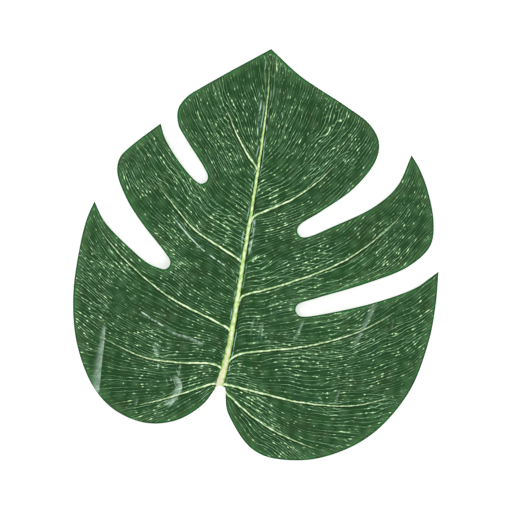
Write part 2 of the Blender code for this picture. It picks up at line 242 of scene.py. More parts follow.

# Creases from folding in the packet, each with a painted sheen: a pale tint where light would
# catch the fold. Each is sharp on the left of its run and fades out on the right: its points, how
# far it fades at its start and at its end, how deep, and how strong its painted sheen is.
CREASES = [
    ([(-70.9, -45.0), (-70.3, -54.2), (-70.0, -64.5), (-69.2, -81)], 1.8, 6.0, 0.45, 0.42),
    ([(-34.4, -65.6), (-29.8, -69.0), (-29.6, -74.5), (-34.6, -83.0)], 3.0, 5.0, 0.3, 0.55),
    ([(-42.1, -65.2), (-42.9, -59.0)], 1.2, 1.0, 0.1, 0.7),
    ([(-42.9, -59.4), (-46.9, -52.0)], 3.0, 4.0, 0.1, 0.25),
    ([(-31.2, -58.8), (-31.2, -67.5)], 1.0, 1.6, 0.1, 0.35),
    ([(-38.6, -66.4), (-35.6, -71.6)], 0.8, 1.2, 0.1, 0.5),
    ([(-49.8, -78.8), (-50.2, -84.6)], 1.2, 2.0, 0.1, 0.25),
    ([(-56.0, -36.3), (-46.8, -40.7), (-39.2, -44.1)], 0.6, 0.8, 0.2, 1.0),
    ([(-41.5, -43.2), (-35.3, -45.7), (-30.7, -46.1), (-21.0, -48.9)], 1.2, 2.2, 0.12, 0.45),
    ([(-45.3, 11.4), (-38.3, 4.9), (-32.9, 0.5), (-28.4, -2.8), (-19.7, -7.3)]
        + [(-14.2, -9.9)], 0.6, 0.6, 0.15, 1.0),
    ([(-13.5, -10.4), (-11.0, -12.6), (-8.6, -15.2)], 0.5, 0.5, 0.1, 0.5),
    ([(-5.9, -2.5), (-5.3, 4.4), (-5.1, 8.0), (-5.2, 16.5)], 1.0, 0.8, 0.15, 0.8),
    ([(-9.3, 53.0), (-10.3, 63.0), (-10.2, 75.0)], 0.5, 0.6, 0.12, 0.85),
    ([(-10.2, 86.0), (-11.2, 97.0)], 0.5, 0.5, 0.1, 0.35),
    ([(26.3, -29.7), (23.0, -41.5)], 1.4, 2.0, 0.15, 0.26),
    ([(60.6, -17.2), (52.5, -40.6)], 3.2, 2.8, 0.2, 0.24),
    ([(69.5, -22.7), (69.9, -29.3)], 1.2, 1.2, 0.1, 0.22),
    ([(6.2, -33.0), (6.5, -44.0)], 1.3, 1.3, 0.1, 0.24),
    ([(1.7, -32.0), (0.9, -42.4)], 1.4, 1.6, 0.1, 0.2),
    ([(48.6, -60.0), (47.4, -69.5)], 1.4, 1.8, 0.1, 0.18),
]


def curve_point(before, start, end, after, share):
    """The point a share of the way from start to end on a smooth curve through all four.

    The curve is a centripetal Catmull-Rom one. Each argument may hold many rows of points.
    """
    knots = [0]
    for a, b in ((before, start), (start, end), (end, after)):
        length = np.linalg.norm(b - a, axis=-1, keepdims=True)
        knots.append(knots[-1] + np.sqrt(np.maximum(length, 1e-9)))
    k0, k1, k2, k3 = knots
    t = k1 + (k2 - k1) * share

    def mix(a, b, ka, kb):
        return a * (kb - t) / (kb - ka) + b * (t - ka) / (kb - ka)

    a1, a2, a3 = mix(before, start, k0, k1), mix(start, end, k1, k2), mix(end, after, k2, k3)
    return mix(mix(a1, a2, k0, k2), mix(a2, a3, k1, k3), k1, k2)


def smooth_line(points, steps):
    """A smooth line through the points, with this many steps between each two."""
    p = np.array(points, float)
    p = np.vstack([2 * p[0] - p[1], p, 2 * p[-1] - p[-2]])
    line = [
        curve_point(*p[i : i + 4], step / steps)
        for i in range(len(p) - 3)
        for step in range(steps)
    ]
    return np.array([*line, p[-2]])


def lengths_along(line):
    """How far each point of a line is from its start, measured along it."""
    return np.concatenate([[0], np.cumsum(np.linalg.norm(np.diff(line, axis=0), axis=1))])


def at_lengths(line, lengths):
    """The points of a line at these distances along it."""
    along = lengths_along(line)
    return np.stack([np.interp(lengths, along, line[:, k]) for k in (0, 1)], axis=-1)


def nearest_on(line, points):
    """For each point: its gap to a line, how far along is the nearest place, and on which side.

    The side is 1 where the point is to the left of the line's run, and -1 to its right.
    """
    starts, spans = line[:-1], np.diff(line, axis=0)
    along = lengths_along(line)
    nearest = np.full(len(points), np.inf)
    place = np.zeros(len(points))
    side = np.ones(len(points))
    for start, span, begin in zip(starts, spans, along[:-1], strict=True):
        size = np.linalg.norm(span)
        out = points - start
        share = np.clip(out @ span / size**2, 0, 1)
        gap = np.linalg.norm(out - share[:, None] * span, axis=1)
        closer = gap < nearest
        nearest[closer] = gap[closer]
        place[closer] = (begin + share * size)[closer]
        side[closer] = np.sign(span[0] * out[:, 1] - span[1] * out[:, 0])[closer]
    return nearest, place, side


def keep_nearest(found, nearest, gap, values):
    """Takes up a line's values at the points that are nearer to it than to any line before."""
    closer = gap < nearest
    nearest[closer] = gap[closer]
    for name, value in values.items():
        found[name][closer] = value[closer]


def ease(x, start=0, end=1):
    """0 up to the start, 1 from the end on, and a smooth rise between."""
    x = np.clip((x - start) / (end - start), 0, 1)
    return x * x * (3 - 2 * x)


MIDRIB_LINE = smooth_line(MIDRIB, STEPS_PER_BEND)
MIDRIB_LENGTH = lengths_along(MIDRIB_LINE)[-1]


def guide_line(start, points, _):
    """A side line of the net as a smooth line, from its place on the midrib."""
    return smooth_line([at_lengths(MIDRIB_LINE, start), *points], STEPS_PER_BEND)


SIDE_VEINS = [
    (guide_line(*line), line[2])
    for line in (*LEFT_LINES, *RIGHT_LINES)
    if line[2] is not None
]


def lift(points, vein_gaps):
    """How high the underside is over the table at each point, from its gaps to the side veins."""
    x, y = points.T
    side = x - np.interp(y, MIDRIB_LINE[:, 1], MIDRIB_LINE[:, 0])
    out = np.abs(side) - SEAT_HALF_WIDTH
    off_seat = ease(out / SEAT_BLEND)
    span = WIDE_SPAN - (WIDE_SPAN - TIP_SPAN) * ease(y, *NARROWING) - SEAT_HALF_WIDTH
    arch = CREST_SHARE * span * (1 - np.cos(2 * math.pi * np.clip(out / span, 0, 1))) / 2
    arch *= BASE_SHARE + (1 - BASE_SHARE) * ease(y, *RISING)
    nearest = np.min([gap for gap, _, _ in vein_gaps], axis=0)
    puff = PUFF * (1 - np.exp(-((nearest / PUFF_REACH) ** 2)))
    wave = MARGIN_WAVE * np.sin(WAVES_ROUND_LEAF * np.arctan2(y, x) + WAVE_START)
    wave *= ease(np.hypot(x, y), *WAVING)
    curl = np.zeros(len(points))
    for tip_x, tip_y, rise, reach in CURLS:
        near = np.clip(1 - np.hypot(x - tip_x, y - tip_y) ** 2 / reach**2, 0, 1)
        curl += rise * near**2
    return np.maximum(0, (arch + puff + wave) * off_seat + curl - SETTLE * off_seat)


def ribs(points, vein_gaps):
    """The pressed and printed veins at each point, as the values that shape and colour them.

    The values called beside are gaps to the midrib and to the nearest side vein, with a sign:
    above 0 on the left of the midrib, and on the tip's side of a side vein. Those called half
    are the half widths of the prints there.
    """
    gap, place, side = nearest_on(MIDRIB_LINE, points)
    midrib_place = place / MIDRIB_LENGTH
    half = MIDRIB_HALF_WIDTH + (MIDRIB_TIP_HALF_WIDTH - MIDRIB_HALF_WIDTH) * midrib_place
    profile = (1 + np.cos(np.pi * np.clip(gap / half, 0, 1))) / 2
    height = MIDRIB_RISE * (1 - (1 - TIP_RISE_SHARE) * midrib_place) * profile
    printed_half = MIDRIB_PRINT_TIP + MIDRIB_PRINT_TAPER * (1 - midrib_place)
    printed_half += MIDRIB_PRINT_FLARE * np.exp(-midrib_place / MIDRIB_FLARE_REACH)
    hook = MIDRIB_PRINT_HOOK * np.exp(-midrib_place / MIDRIB_HOOK_REACH)
    shift = MIDRIB_PRINT_SHIFT + hook
    found = {
        "midrib_half": printed_half,
        "midrib_place": midrib_place,
        "beside_midrib": np.clip(side * gap - shift, -FAR, FAR),
        "vein_half": np.zeros(len(points)),
        "beside_vein": np.full(len(points), FAR),
        "vein_strength": np.zeros(len(points)),
    }
    nearest = np.full(len(points), np.inf)
    for (line, end), (gap, place, side) in zip(SIDE_VEINS, vein_gaps, strict=True):
        fade = place / lengths_along(line)[-1]
        half = VEIN_HALF_WIDTH + (VEIN_END_HALF_WIDTH - VEIN_HALF_WIDTH) * fade
        rise = VEIN_RISE * (1 - ease(fade, *VEIN_SINKING))
        profile = (1 + np.cos(np.pi * np.clip(gap / half, 0, 1))) / 2
        height = np.maximum(height, rise * profile)
        _, (shown,), _ = nearest_on(line, np.array([end], float))
        drawn = place / shown
        printed_half = VEIN_PRINT * (1 - VEIN_PRINT_TAPER * ease(drawn))
        printed_half += VEIN_PRINT_FLARE * np.exp(-place / VEIN_FLARE_REACH)
        tipward = side if line[-1][0] > line[0][0] else -side
        strength = (1 - ease(gap, *VEIN_PRINT_SIDES)) * (1 - ease(drawn, *VEIN_PRINT_FADING))
        values = {
            "vein_half": printed_half,
            "beside_vein": np.clip(tipward * gap, -FAR, FAR),
            "vein_strength": strength * ease(place, 0, VEIN_PRINT_START),
        }
        keep_nearest(found, nearest, gap, values)
    return height, found


def side_net(lines):
    """What one side's rows are made from.

    It is where its lines start, the lines evenly divided with one more beyond each end, and
    how many fine veins there are between each two.
    """
    guides = [guide_line(*line) for line in lines]
    fine = np.linspace(0, 1, GUIDE_POINTS)
    even = [at_lengths(g, fine * lengths_along(g)[-1]) for g in guides]
    pairs = zip(even[:-1], even[1:], strict=True)
    counts = [gap_across(lower, upper).max() / FINE_SPACING for lower, upper in pairs]
    starts = [line[0] for line in lines]
    return starts, [2 * even[0] - even[1], *even, 2 * even[-1] - even[-2]], counts


def net_row(net, place):
    """One row of a side's net: its line from the midrib outwards, and its fine vein's number.

    The number is how far the row has come from one guide to the next at each of its points,
    in fine veins counted from the base.
    """
    starts, even, counts = net
    i = min(np.searchsorted(starts, place, side="right") - 1, len(starts) - 2)
    share = (place - starts[i]) / (starts[i + 1] - starts[i])
    gap = np.linalg.norm(even[i + 2] - even[i + 1], axis=1)
    near = np.minimum(VEIN_HALF_WIDTH / np.maximum(gap, 1e-6), NEAREST_SHARE)
    shares = [np.interp(share, [0, near[0], 1 - near[0], 1], [0, n, 1 - n, 1]) for n in near]
    shares = np.array(shares)
    line = curve_point(*even[i : i + 4], shares[:, None])
    shift = at_lengths(MIDRIB_LINE, place) - line[0]
    line += shift * np.linspace(1, 0, len(line))[:, None]
    return line, sum(counts[:i]) + counts[i] * shares


def stations(nets):
    """Places along the midrib, from its base, where a row of the net starts on both sides."""
    veins = sorted({start for starts, _, _ in nets for start in starts})
    places = []
    for low, high in zip(veins[:-1], veins[1:], strict=True):
        rows = [(net_row(net, low)[0], net_row(net, high - JOIN)[0]) for net in nets]
        widest = max(np.linalg.norm(b - a, axis=1).max() for a, b in rows)
        foot = min(VEIN_HALF_WIDTH, (high - low) / 4)
        count = max(2, round(widest / ROW_SPACING))
        climb = np.linspace(0, foot, ROWS_UP_A_VEIN, endpoint=False)
        places += [*(low + climb), *np.linspace(low + foot, high - foot, count)]
        places += [*(high - climb[:0:-1])]
    return [*places, veins[-1]]


def row_places(line):
    """How far along a row its corners are: close together over the midrib, then even."""
    along = lengths_along(line)
    x, y = line.T
    gap = np.abs(x - np.interp(y, MIDRIB_LINE[:, 1], MIDRIB_LINE[:, 0]))
    foot = np.interp(MIDRIB_HALF_WIDTH, np.maximum.accumulate(gap), along)
    foot = min(foot, along[-1] / COLUMNS * len(OVER_MIDRIB))
    over = foot * np.array(OVER_MIDRIB)
    return np.concatenate([over, np.linspace(foot, along[-1], COLUMNS - len(over) + 1)[1:]])


def gap_across(lower, upper):
    """How wide the strip between two guides is, square to its run, from base to tip side."""
    run = np.gradient(lower + upper, axis=0)
    run /= np.linalg.norm(run, axis=1)[:, None]
    step = upper - lower
    gap = np.abs(run[:, 0] * step[:, 1] - run[:, 1] * step[:, 0])
    evened = np.pad(gap, EVENED_OVER // 2, mode="edge")
    return np.convolve(evened, np.ones(EVENED_OVER) / EVENED_OVER, "valid")


def spread_along(gap, outward):
    """How many times closer the fine veins would be along a row, as a power of two."""
    share = outward / outward[-1]
    here = np.interp(share, np.linspace(0, 1, len(gap)), gap) / gap.max()
    return -np.log2(np.maximum(here, 0.01))


def add_net(sheet, net, places):
    """Adds one side's net to the sheet, as a grid whose rows follow the side veins.

    Its flow map holds how far out along a row a corner is, in millimetres, and which fine
    vein it is on, counted from the base. Its spread map holds how many times closer together
    the fine veins would be than where they are furthest apart, as a power of two.
    """
    starts, even, _ = net
    gaps = [gap_across(*guides) for guides in zip(even[1:-2], even[2:-1], strict=True)]
    rows = [net_row(net, place) for place in places]
    outward = [row_places(row) for row, _ in rows]
    corners = [at_lengths(row, out) for (row, _), out in zip(rows, outward, strict=True)]
    numbers = [
        np.interp(out, lengths_along(row), number)
        for (row, number), out in zip(rows, outward, strict=True)
    ]
    columns = len(outward[0])
    made = bmesh.ops.create_grid(sheet, x_segments=columns - 1, y_segments=len(rows) - 1, size=1)
    for vert, (x, y) in zip(made["verts"], np.concatenate(corners), strict=True):
        vert.co = (x * MM, y * MM, 0)

    # A row that follows a side vein has one spread for the faces below it and one for those above
    above = np.minimum(np.searchsorted(starts, places, side="right") - 1, len(gaps) - 1)
    below = np.maximum(np.searchsorted(starts, places, side="left") - 1, 0)
    spreads = [
        [spread_along(gaps[i], out) for i, out in zip(interval, outward, strict=True)]
        for interval in (above, below)
    ]
    order = {vert: i for i, vert in enumerate(made["verts"])}
    flow = sheet.loops.layers.uv["flow"]
    spread = sheet.loops.layers.uv["spread"]
    for face in {face for vert in made["verts"] for face in vert.link_faces}:
        low = min(order[vert] for vert in face.verts) // columns
        for loop in face.loops:
            row, column = divmod(order[loop.vert], columns)
            loop[flow].uv = (outward[row][column], numbers[row][column])
            loop[spread].uv = (spreads[row - low][row][column], 0)


def flat_sheet():
    """The whole net as one flat sheet, a little larger than the leaf."""
    nets = [side_net(LEFT_LINES), side_net(RIGHT_LINES)]
    places = stations(nets)
    sheet = bmesh.new()
    for name in ("flow", "spread"):
        sheet.loops.layers.uv.new(name)
    for net in nets:
        add_net(sheet, net, places)
    merge(sheet)
    return sheet


def margin_line():
    """The leaf's outline as one closed line."""
    return np.vstack([smooth_line(stretch, STEPS_PER_STRETCH)[:-1] for stretch in MARGIN])


def new_object(name, shape):
    """Puts a bmesh in the scene as an object."""
    mesh = bpy.data.meshes.new(name)
    shape.to_mesh(mesh)
    shape.free()
    made = bpy.data.objects.new(name, mesh)
    bpy.context.scene.collection.objects.link(made)
    return made


def merge(shape):
    """Joins the corners that lie on each other, and points all faces the same way."""
    bmesh.ops.remove_doubles(shape, verts=shape.verts, dist=JOIN * MM)
    bmesh.ops.recalc_face_normals(shape, faces=shape.faces)


def thicken(shape, height):
    """Closes a flat shape by raising a copy of its faces straight up, with walls between."""
    raised = bmesh.ops.extrude_face_region(shape, geom=list(shape.faces))["geom"]
    upper = [vert for vert in raised if isinstance(vert, bmesh.types.BMVert)]
    bmesh.ops.translate(shape, verts=upper, vec=(0, 0, height * MM))
    bmesh.ops.recalc_face_normals(shape, faces=shape.faces)


def margin_cutter():
    """A tall block with the leaf's outline, which trims the sheet."""
    block = bmesh.new()
    foot = -CUTTER_HEIGHT / 2 * MM
    block.faces.new([block.verts.new((x * MM, y * MM, foot)) for x, y in margin_line()])
    thicken(block, CUTTER_HEIGHT)
    return new_object("margin_cutter", block)


def trimmed_sheet():
    """The flat sheet, cut to the leaf's outline."""
    flat = new_object("flat_sheet", flat_sheet())
    cutter = margin_cutter()
    trim = flat.modifiers.new("trim_to_margin", "BOOLEAN")
    trim.operation = "INTERSECT"
    trim.object = cutter
    evaluated = flat.evaluated_get(bpy.context.evaluated_depsgraph_get())
    sheet = bmesh.new()
    sheet.from_mesh(evaluated.to_mesh())
    bpy.data.objects.remove(flat)
    bpy.data.objects.remove(cutter)
    return sheet


def creases(points):
    """What the creases do at each point: how far they lift it, and where their painted sheen lies.

    The gap is to the nearest crease, with its sign above 0 on the sharp side.
    """
    rise = np.zeros(len(points))
    nearest = np.full(len(points), np.inf)
    found = {
        "crease_gap": np.full(len(points), FAR),
        "crease_soft": np.ones(len(points)),
        "crease_sheen": np.zeros(len(points)),
    }
    for corners, soft_start, soft_end, height, sheen_strength in CREASES:
        line = smooth_line(corners, STEPS_PER_FOLD)
        gap, place, side = nearest_on(line, points)
        length = lengths_along(line)[-1]
        soft = soft_start + (soft_end - soft_start) * place / length
        folded = soft + CREASE_ROUNDING
        ends = ease(np.minimum(place, length - place) / CREASE_END)
        rise = np.maximum(rise, height * ends * np.exp(-((gap / folded) ** 2)))
        near = 1 - ease((gap - folded) / CREASE_END)
        values = {
            "crease_gap": np.clip(side * gap, -FAR, FAR),
            "crease_soft": soft,
            "crease_sheen": sheen_strength * ends * near,
        }
        keep_nearest(found, nearest, gap, values)
    return rise, found


def crinkle(flow):
    """Small uneven waves in the blade, long along the fine veins and short across them."""
    long_waves, short_waves = [
        np.array([noise.noise(Vector((out / long, across / wide, lot))) for out, across in flow])
        for long, wide, lot in (LONG_WAVES, SHORT_WAVES)
    ]
    return CRINKLE * (long_waves + short_waves * SHORT_WAVE_SHARE)


def flow_at_points(mesh):
    """The flow map's value at each of the mesh's points."""
    corner_points = np.zeros(len(mesh.loops), int)
    mesh.loops.foreach_get("vertex_index", corner_points)
    corner_flow = np.zeros(len(mesh.loops) * 2)
    mesh.uv_layers["flow"].uv.foreach_get("vector", corner_flow)
    flow = np.zeros((len(mesh.vertices), 2))
    flow[corner_points] = corner_flow.reshape(-1, 2)
    return flow


def thick_sheet():
    """The trimmed sheet as a closed one: its underside at z = 0 and its top a thickness over it."""
    sheet = trimmed_sheet()
    merge(sheet)
    thicken(sheet, BLADE_THICKNESS)
    for face in sheet.faces:
        facing = round(face.normal.z)
        face.material_index = {1: UPPER, 0: EDGE, -1: UNDER}[facing]
    map_for_baking(sheet)
    return sheet


def map_for_baking(sheet):
    """Lays the flat closed sheet out on a map without overlaps.

    The top keeps its shape, with the walls round it. The underside, which shows less, is
    squeezed into the strip beside them.
    """
    bake = sheet.loops.layers.uv.new("OFBake")
    x, y = margin_line().T
    left, low = x.min() - WALL_FLANGE, y.min() - WALL_FLANGE
    wide, tall = x.max() + WALL_FLANGE - left, y.max() + WALL_FLANGE - low
    scale = TOP_SHARE / tall
    strip = wide * scale + 2 * BAKE_GAP
    squeezed = (1 - BAKE_GAP - strip) / wide
    stretched = (1 - 2 * BAKE_GAP) / tall
    for face in sheet.faces:
        for loop in face.loops:
            place = loop.vert.co.xy / MM
            if face.material_index == EDGE and loop.vert.co.z < BLADE_THICKNESS * MM / 2:
                walls = [near for near in loop.vert.link_faces if near.material_index == EDGE]
                outward = sum((wall.normal for wall in walls), Vector())
                place += outward.xy.normalized() * WALL_FLANGE
            across, up = place.x - left, place.y - low
            if face.material_index == UNDER:
                loop[bake].uv = (strip + across * squeezed, BAKE_GAP + up * stretched)
            else:
                loop[bake].uv = (BAKE_GAP + across * scale, BAKE_GAP + up * scale)


def shape_blade(blade):
    """Gives the flat blade its lie on the table, its pressed veins, crinkles and creases."""
    mesh = blade.data
    places = np.zeros(len(mesh.vertices) * 3)
    mesh.vertices.foreach_get("co", places)
    places = places.reshape(-1, 3) / MM
    on_top = places[:, 2] > BLADE_THICKNESS / 2
    seen_from_above = places[:, :2].round(4)
    _, first, copies = np.unique(seen_from_above, axis=0, return_index=True, return_inverse=True)
    copies = copies.ravel()
    points = places[first, :2]

    vein_gaps = [nearest_on(line, points) for line, _ in SIDE_VEINS]
    height, veins = ribs(points, vein_gaps)
    crease_rise, crease_sheen_values = creases(points)
    off_midrib = ease(np.abs(veins["beside_midrib"]), *COMING_IN)
    small_relief = (crinkle(flow_at_points(mesh)[first]) + crease_rise) * off_midrib
    under = np.maximum(0, lift(points, vein_gaps) + small_relief)
    top = under + BLADE_THICKNESS + height
    groove = under + PRESSED_THROUGH * height
    places[:, 2] = np.where(on_top, top[copies], groove[copies])
    mesh.vertices.foreach_set("co", (places * MM).ravel())

    margin = margin_line()
    in_from_margin, _, _ = nearest_on(np.vstack([margin, margin[:1]]), points)
    # Values for the print, and for the painted shadow lines, highlights and crease sheen
    prints = {**veins, **crease_sheen_values, "in_from_margin": np.minimum(in_from_margin, FAR)}
    for name, values in prints.items():
        layer = mesh.attributes.new(name, "FLOAT", "POINT")
        layer.data.foreach_set("value", values[copies].astype(np.float32))
    mesh.update()
    mesh.shade_smooth()
    mesh.set_sharp_from_angle(angle=math.radians(SHARP_EDGE))


def colour(code):
    """An sRGB hex colour as linear red, green, blue and alpha."""
    parts = [int(code[i : i + 2], 16) / 255 for i in (1, 3, 5)]
    linear = [p / 12.92 if p <= 0.04045 else ((p + 0.055) / 1.055) ** 2.4 for p in parts]
    return (*linear, 1)


# The setting of a Map Range node that eases in and out
SMOOTH = {"interpolation_type": "SMOOTHSTEP"}


def add(tree, kind, inputs=(), out=0, **settings):
    """Adds a shader node with its settings, sets or links its inputs, and returns one output."""
    made = tree.nodes.new("ShaderNode" + kind)
    for name, value in settings.items():
        setattr(made, name, value)
    for key, value in inputs.items() if isinstance(inputs, dict) else enumerate(inputs):
        if isinstance(value, bpy.types.NodeSocket):
            tree.links.new(value, made.inputs[key])
        else:
            made.inputs[key].default_value = value
    return made.outputs[out]


def drawn_line(tree, along, own_line, offset, shares):
    """One set of fine veins: how much shows of its dark flanks, lines, dashes and specks.

    Each line has its own strength and its own run of noise, so each wanders, breaks and
    brightens in its own places. The offset from the line is in millimetres.
    """
    lot = add(tree, "TexWhiteNoise", {"W": own_line}, noise_dimensions="1D")
    own_strength = add(tree, "MapRange", [lot, 0.2, 1, 0.25, 1])
    runs = []
    for length, plane, scale, detail in ((9, 0, 1, 2), (2.3, 3, 1, 1), (2.3, 7, 0.3, 2)):
        out = add(tree, "Math", [along, 1 / length], operation="MULTIPLY")
        run = add(tree, "CombineXYZ", [out, own_line, plane])
        runs.append(add(tree, "TexNoise", {"Vector": run, "Scale": scale, "Detail": detail}))
    slow_run, quick_run, wander_run = runs
    shown = add(tree, "MapRange", [slow_run, 0.34, 0.6, 0.2, 1], **SMOOTH)
    wander = add(tree, "MapRange", [wander_run, 0.25, 0.75, -0.4, 0.4])
    wandered = add(tree, "Math", [offset, wander], operation="SUBTRACT")
    gap = add(tree, "Math", [wandered], operation="ABSOLUTE")
    line = add(tree, "MapRange", [gap, 0.02, 0.2, 1, 0], **SMOOTH)
    bead = add(tree, "MapRange", [gap, 0.1, 0.34, 1, 0], **SMOOTH)
    flank = add(tree, "MapRange", [gap, 0.3, 0.75, 1, 0], **SMOOTH)
    for share in shares:
        shown = add(tree, "Math", [shown, share], operation="MULTIPLY")
        bead = add(tree, "Math", [bead, share], operation="MULTIPLY")
    whole_line = add(tree, "Math", [line, shown], operation="MULTIPLY")
    bright = add(tree, "MapRange", [quick_run, 0.51, 0.66, 0, 1], **SMOOTH)
    dash = add(tree, "Math", [whole_line, bright], operation="MULTIPLY")
    swollen = add(tree, "MapRange", [quick_run, 0.65, 0.72, 0, 1], **SMOOTH)
    speck = add(tree, "Math", [bead, swollen], operation="MULTIPLY")
    own_shown = add(tree, "Math", [shown, own_strength], operation="MULTIPLY")
    steady = add(tree, "Math", [line, own_shown], operation="MULTIPLY")
    dark_flank = add(tree, "Math", [flank, own_shown], operation="MULTIPLY")
    return dark_flank, steady, dash, speck


def fine_veins(tree):
    """The printed fine veins as shares from 0 to 1: their flanks, lines, dashes and specks.

    They run along the flow map. Where the blade widens, a new line branches off an old one
    and swings out to lie halfway to the next, so that they stay about as far apart all over
    the leaf. A weaker set crosses them at a small angle, in patches.
    """
    flow = add(tree, "SeparateXYZ", [add(tree, "UVMap", uv_map="flow")])
    along = flow
    across = flow.node.outputs[1]
    spread = add(tree, "SeparateXYZ", [add(tree, "UVMap", uv_map="spread")])
    crowding = add(tree, "Math", [2.0, spread], operation="POWER")
    place = add(tree, "TexCoord", out="Object")

    # How far apart the lines are, as a power of two: its whole part and the part over it
    wide = add(tree, "TexNoise", {"Vector": place, "Scale": 1 / (26 * MM), "Detail": 1})
    uneven = add(tree, "MapRange", [wide, 0, 1, -0.8, 0.8])
    level = add(tree, "Math", [spread, uneven], operation="ADD")
    whole = add(tree, "Math", [level], operation="FLOOR")
    part = add(tree, "Math", [level], operation="FRACT")
    doubling = add(tree, "Math", [2.0, whole], operation="POWER")

    # The lines drift together over the blade, and less where they are close together
    drift = add(tree, "TexNoise", {"Vector": place, "Scale": 1 / (30 * MM), "Detail": 1})
    drifted = add(tree, "MapRange", [drift, 0, 1, -3, 3])
    drift_share = add(tree, "Math", [crowding, 1.6], operation="MINIMUM")
    bent = add(tree, "Math", [drifted, drift_share, across], operation="MULTIPLY_ADD")
    number = add(tree, "Math", [bent, doubling], operation="DIVIDE")
    in_one = add(tree, "Math", [doubling, FINE_SPACING], operation="MULTIPLY")
    spacing = add(tree, "Math", [in_one, crowding], operation="DIVIDE")

    # Every second line carries on through the next doubling
    pair = add(tree, "Math", [number, 0.5], operation="MULTIPLY")
    nearest_old = add(tree, "Math", [pair], operation="ROUND")
    off_old = add(tree, "Math", [pair, nearest_old], operation="SUBTRACT")
    old_share = add(tree, "Math", [off_old, 2.0], operation="MULTIPLY")
    old_offset = add(tree, "Math", [old_share, spacing], operation="MULTIPLY")
    old_number = add(tree, "Math", [nearest_old, doubling], operation="MULTIPLY")
    old_line = add(tree, "Math", [old_number, 10.74], operation="MULTIPLY")

    # The lines between them swing in to the one above or below, and end there
    below = add(tree, "Math", [pair], operation="FLOOR")
    middle = add(tree, "Math", [below, 2.0, 1.0], operation="MULTIPLY_ADD")
    own_number = add(tree, "Math", [middle, doubling], operation="MULTIPLY")
    own_line = add(tree, "Math", [own_number, 5.37], operation="MULTIPLY")
    lot = add(tree, "TexWhiteNoise", {"W": own_line}, noise_dimensions="1D")
    centred = add(tree, "Math", [lot, 0.5], operation="SUBTRACT")
    turn = add(tree, "Math", [centred], operation="SIGN")
    swing = add(tree, "MapRange", [part, 0.1, 0.8, 0, 1], **SMOOTH)
    new_place = add(tree, "Math", [swing, turn, middle], operation="MULTIPLY_ADD")
    new_share = add(tree, "Math", [number, new_place], operation="SUBTRACT")
    new_offset = add(tree, "Math", [new_share, spacing], operation="MULTIPLY")
    kept = add(tree, "MapRange", [part, 0.74, 0.84, 1, 0], **SMOOTH)

    patches = add(tree, "TexNoise", {"Vector": place, "Scale": 1 / (18 * MM), "Detail": 2})
    crossed = add(tree, "MapRange", [patches, 0.5, 0.62, 0, 0.8], **SMOOTH)
    lean = add(tree, "Math", [along, 0.16], operation="MULTIPLY")
    slanted = add(tree, "Math", [number, 0.6, lean], operation="MULTIPLY_ADD")
    nearest_cross = add(tree, "Math", [slanted], operation="ROUND")
    off_cross = add(tree, "Math", [slanted, nearest_cross], operation="SUBTRACT")
    cross_share = add(tree, "Math", [off_cross, 1.6], operation="MULTIPLY")
    cross_offset = add(tree, "Math", [cross_share, spacing], operation="MULTIPLY")
    cross_line = add(tree, "Math", [nearest_cross, 3.71], operation="MULTIPLY")

    # Over some parts of the blade all of them are fainter
    blotches = add(tree, "TexNoise", {"Vector": place, "Scale": 1 / (20 * MM), "Detail": 1})
    clear = add(tree, "MapRange", [blotches, 0.38, 0.56, 0.4, 1], **SMOOTH)

    sets = [
        drawn_line(tree, along, old_line, old_offset, [clear]),
        drawn_line(tree, along, own_line, new_offset, [clear, kept]),
        drawn_line(tree, along, cross_line, cross_offset, [clear, crossed]),
    ]
    totals = []
    for first, *others in zip(*sets, strict=True):
        largest = first
        for other in others:
            largest = add(tree, "Math", [largest, other], operation="MAXIMUM")
        totals.append(largest)
    return totals


def gap_to(tree, gap, shift):
    """How far a place is from a line that is shifted aside, from its signed gap to the line."""
    shifted = add(tree, "Math", [gap, shift], operation="ADD")
    return add(tree, "Math", [shifted], operation="ABSOLUTE")


def ragged_gap(tree, place, beside, half, least, most):
    """How far a point is from a printed vein's middle, over its ragged half width.

    The half width varies from the least to the most share of the one the vein has there. The
    noise that widens it is returned too, so that its wide places can be the bright ones.
    """
    wander = add(tree, "TexNoise", {"Vector": place, "Scale": 1 / (5 * MM), "Detail": 1})
    shift = add(tree, "MapRange", [wander, 0.3, 0.7, -0.15, 0.15])
    gap = gap_to(tree, beside, shift)
    beads = add(tree, "TexNoise", {"Vector": place, "Scale": 1 / (1.7 * MM), "Detail": 2})
    swelling = add(tree, "MapRange", [beads, 0.3, 0.7, least, most])
    ragged_half = add(tree, "Math", [half, swelling], operation="MULTIPLY")
    return add(tree, "Math", [gap, ragged_half], operation="DIVIDE"), beads


def side_vein_print_and_shadow(tree, place, read):
    """The side veins, as layers: a painted shadow line on one side, the printed body, pale beads.
    """
    beside, strength = read["beside_vein"], read["vein_strength"]
    across, beads = ragged_gap(tree, place, beside, read["vein_half"], 0.72, 1.3)
    # Painted shadow: a dark line beside the raised vein, where its shade falls
    gap = gap_to(tree, beside, 0.75)
    shadow = add(tree, "MapRange", [gap, 0.15, 0.45, 0.8, 0], **SMOOTH)
    body = add(tree, "MapRange", [across, 0.6, 1.0, 1, 0], **SMOOTH)
    middle = add(tree, "MapRange", [across, 0.25, 0.8, 1, 0], **SMOOTH)
    bright = add(tree, "MapRange", [beads, 0.4, 0.6, 0.35, 1], **SMOOTH)
    return [
        ("#0B2010", [shadow, strength]),
        ("#7FB462", [body, strength]),
        ("#F2FFDA", [middle, bright, strength]),
    ]


